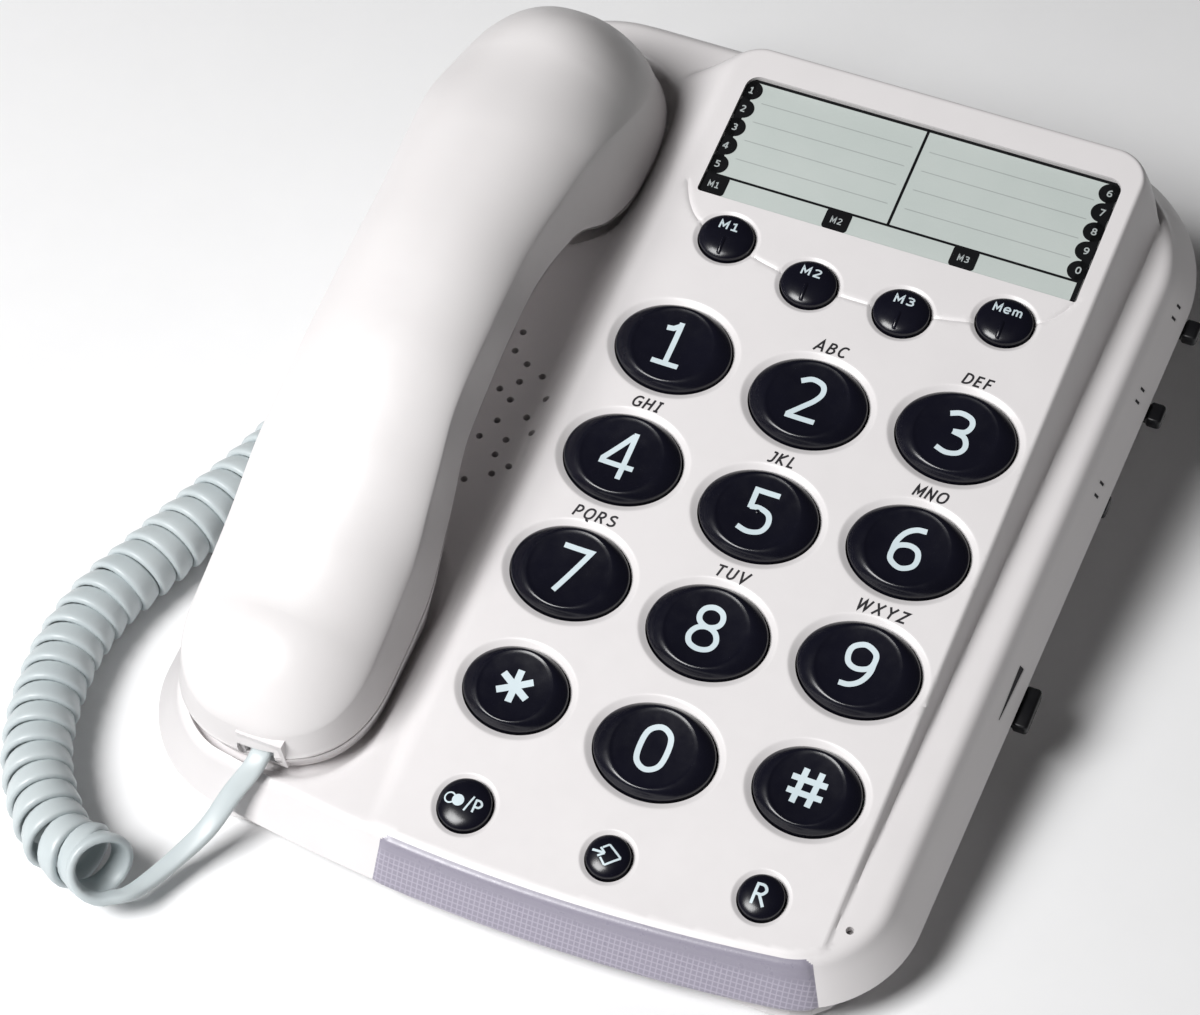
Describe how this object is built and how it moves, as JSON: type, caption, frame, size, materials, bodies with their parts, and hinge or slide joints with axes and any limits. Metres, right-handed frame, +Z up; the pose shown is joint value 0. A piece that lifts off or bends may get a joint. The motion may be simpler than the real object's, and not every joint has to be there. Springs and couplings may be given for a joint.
{
  "type": "corded desk telephone",
  "caption": "Corded desk telephone with large oval push keys, index window, light bar, side controls, a lift-off handset on a sloping cradle and a curly handset cord.",
  "frame": {"origin": "centre of the footprint on the desk, under the telephone without its cord", "axes": "+Z up from the desk, +Y from the user towards the back of the telephone, +X to the user's right"},
  "size_m": [0.2066, 0.2463, 0.0845],
  "materials": {
    "warm_white_plastic": "warm white moulded ABS, fine satin texture",
    "gloss_black_plastic": "gloss black moulded plastic",
    "dark_plastic": "plain black moulded plastic",
    "cord_jacket": "soft light grey PVC jacket",
    "clear_plastic": "clear polished plastic",
    "light_bar_plastic": "translucent lilac grey plastic with a fine square grid inside",
    "index_paper": "printed grey-green paper card",
    "circuit_board": "green solder mask",
    "rubber_foot": "black rubber",
    "silicone_mat": "grey silicone rubber",
    "steel": "zinc plated steel"
  },
  "bodies": {
    "base": {"base_upper_housing": "warm_white_plastic", "base_lower_housing": "warm_white_plastic", "hook_switch": "dark_plastic", "ringer_speaker": "dark_plastic", "handset_jack_base": "dark_plastic", "line_jack": "dark_plastic", "cord_lead_handset": "cord_jacket", "cord_coil": "cord_jacket", "cord_lead_base": "cord_jacket", "index_window": "clear_plastic", "base_cord_plug": "clear_plastic", "ring_led_left": "clear_plastic", "ring_led_right": "clear_plastic", "light_bar_lens": "light_bar_plastic", "index_card": "index_paper", "main_board": "circuit_board", "foot_1": "rubber_foot", "foot_2": "rubber_foot", "foot_3": "rubber_foot", "foot_4": "rubber_foot", "keypad_mat": "silicone_mat", "hook_spring": "steel", "panel_microphone": "steel", "screw_1": "steel", "screw_2": "steel", "screw_3": "steel", "screw_4": "steel"},
    "handset": {"handset_back_shell": "warm_white_plastic", "handset_front_shell": "warm_white_plastic", "handset_receiver": "dark_plastic", "handset_microphone": "steel", "handset_weight": "steel", "handset_jack": "dark_plastic", "handset_cord_plug": "clear_plastic"},
    "hook": {"hook_plunger": "dark_plastic"},
    "key_1": {"key_1": "gloss_black_plastic"},
    "key_2": {"key_2": "gloss_black_plastic"},
    "key_3": {"key_3": "gloss_black_plastic"},
    "key_4": {"key_4": "gloss_black_plastic"},
    "key_5": {"key_5": "gloss_black_plastic"},
    "key_6": {"key_6": "gloss_black_plastic"},
    "key_7": {"key_7": "gloss_black_plastic"},
    "key_8": {"key_8": "gloss_black_plastic"},
    "key_9": {"key_9": "gloss_black_plastic"},
    "key_star": {"key_star": "gloss_black_plastic"},
    "key_0": {"key_0": "gloss_black_plastic"},
    "key_hash": {"key_hash": "gloss_black_plastic"},
    "key_m1": {"key_m1": "gloss_black_plastic"},
    "key_m2": {"key_m2": "gloss_black_plastic"},
    "key_m3": {"key_m3": "gloss_black_plastic"},
    "key_mem": {"key_mem": "gloss_black_plastic"},
    "key_pause": {"key_pause": "gloss_black_plastic"},
    "key_redial": {"key_redial": "gloss_black_plastic"},
    "key_flash": {"key_flash": "gloss_black_plastic"},
    "volume_slider": {"volume_slider": "gloss_black_plastic"},
    "side_selector": {"side_selector": "gloss_black_plastic"},
    "tone_switch": {"tone_switch": "gloss_black_plastic"},
    "ringer_switch": {"ringer_switch": "gloss_black_plastic"}
  },
  "joints": [
    {"name": "handset_lift", "type": "slide", "parent": "base", "child": "handset", "axis": [0, 0, 1], "range_m": [0, 0.08]},
    {"name": "hook_rise", "type": "slide", "parent": "base", "child": "hook", "axis": [0, 0, 1], "range_m": [0, 0.004], "deforming": ["hook_spring"]},
    {"name": "key_1_press", "type": "slide", "parent": "base", "child": "key_1", "axis": [0, 0.2419, -0.9703], "range_m": [0, 0.002], "stiffness_N_per_m": 250, "springref_m": -0.0012},
    {"name": "key_2_press", "type": "slide", "parent": "base", "child": "key_2", "axis": [0, 0.2419, -0.9703], "range_m": [0, 0.002], "stiffness_N_per_m": 250, "springref_m": -0.0012},
    {"name": "key_3_press", "type": "slide", "parent": "base", "child": "key_3", "axis": [0, 0.2419, -0.9703], "range_m": [0, 0.002], "stiffness_N_per_m": 250, "springref_m": -0.0012},
    {"name": "key_4_press", "type": "slide", "parent": "base", "child": "key_4", "axis": [0, 0.2419, -0.9703], "range_m": [0, 0.002], "stiffness_N_per_m": 250, "springref_m": -0.0012},
    {"name": "key_5_press", "type": "slide", "parent": "base", "child": "key_5", "axis": [0, 0.2419, -0.9703], "range_m": [0, 0.002], "stiffness_N_per_m": 250, "springref_m": -0.0012},
    {"name": "key_6_press", "type": "slide", "parent": "base", "child": "key_6", "axis": [0, 0.2419, -0.9703], "range_m": [0, 0.002], "stiffness_N_per_m": 250, "springref_m": -0.0012},
    {"name": "key_7_press", "type": "slide", "parent": "base", "child": "key_7", "axis": [0, 0.2419, -0.9703], "range_m": [0, 0.002], "stiffness_N_per_m": 250, "springref_m": -0.0012},
    {"name": "key_8_press", "type": "slide", "parent": "base", "child": "key_8", "axis": [0, 0.2419, -0.9703], "range_m": [0, 0.002], "stiffness_N_per_m": 250, "springref_m": -0.0012},
    {"name": "key_9_press", "type": "slide", "parent": "base", "child": "key_9", "axis": [0, 0.2419, -0.9703], "range_m": [0, 0.002], "stiffness_N_per_m": 250, "springref_m": -0.0012},
    {"name": "key_star_press", "type": "slide", "parent": "base", "child": "key_star", "axis": [0, 0.2419, -0.9703], "range_m": [0, 0.002], "stiffness_N_per_m": 250, "springref_m": -0.0012},
    {"name": "key_0_press", "type": "slide", "parent": "base", "child": "key_0", "axis": [0, 0.2419, -0.9703], "range_m": [0, 0.002], "stiffness_N_per_m": 250, "springref_m": -0.0012},
    {"name": "key_hash_press", "type": "slide", "parent": "base", "child": "key_hash", "axis": [0, 0.2419, -0.9703], "range_m": [0, 0.002], "stiffness_N_per_m": 250, "springref_m": -0.0012},
    {"name": "key_m1_press", "type": "slide", "parent": "base", "child": "key_m1", "axis": [0, 0.2419, -0.9703], "range_m": [0, 0.002], "stiffness_N_per_m": 250, "springref_m": -0.0012},
    {"name": "key_m2_press", "type": "slide", "parent": "base", "child": "key_m2", "axis": [0, 0.2419, -0.9703], "range_m": [0, 0.002], "stiffness_N_per_m": 250, "springref_m": -0.0012},
    {"name": "key_m3_press", "type": "slide", "parent": "base", "child": "key_m3", "axis": [0, 0.2419, -0.9703], "range_m": [0, 0.002], "stiffness_N_per_m": 250, "springref_m": -0.0012},
    {"name": "key_mem_press", "type": "slide", "parent": "base", "child": "key_mem", "axis": [0, 0.2419, -0.9703], "range_m": [0, 0.002], "stiffness_N_per_m": 250, "springref_m": -0.0012},
    {"name": "key_pause_press", "type": "slide", "parent": "base", "child": "key_pause", "axis": [0, 0.2419, -0.9703], "range_m": [0, 0.002], "stiffness_N_per_m": 250, "springref_m": -0.0012},
    {"name": "key_redial_press", "type": "slide", "parent": "base", "child": "key_redial", "axis": [0, 0.2419, -0.9703], "range_m": [0, 0.002], "stiffness_N_per_m": 250, "springref_m": -0.0012},
    {"name": "key_flash_press", "type": "slide", "parent": "base", "child": "key_flash", "axis": [0, 0.2419, -0.9703], "range_m": [0, 0.002], "stiffness_N_per_m": 250, "springref_m": -0.0012},
    {"name": "volume_slider_travel", "type": "slide", "parent": "base", "child": "volume_slider", "axis": [0, 0.9848, 0.1736], "range_m": [-0.006, 0.006]},
    {"name": "side_selector_travel", "type": "slide", "parent": "base", "child": "side_selector", "axis": [0, 0.9848, 0.1736], "range_m": [-0.0015, 0.0015]},
    {"name": "tone_switch_travel", "type": "slide", "parent": "base", "child": "tone_switch", "axis": [0, 0.9848, 0.1736], "range_m": [-0.0015, 0.0015]},
    {"name": "ringer_switch_travel", "type": "slide", "parent": "base", "child": "ringer_switch", "axis": [0, 0.9848, 0.1736], "range_m": [-0.002, 0.002]}
  ],
  "couplings": [
    {"joint": "hook_rise", "follows": "handset_lift", "ratio": 0.05}
  ]
}
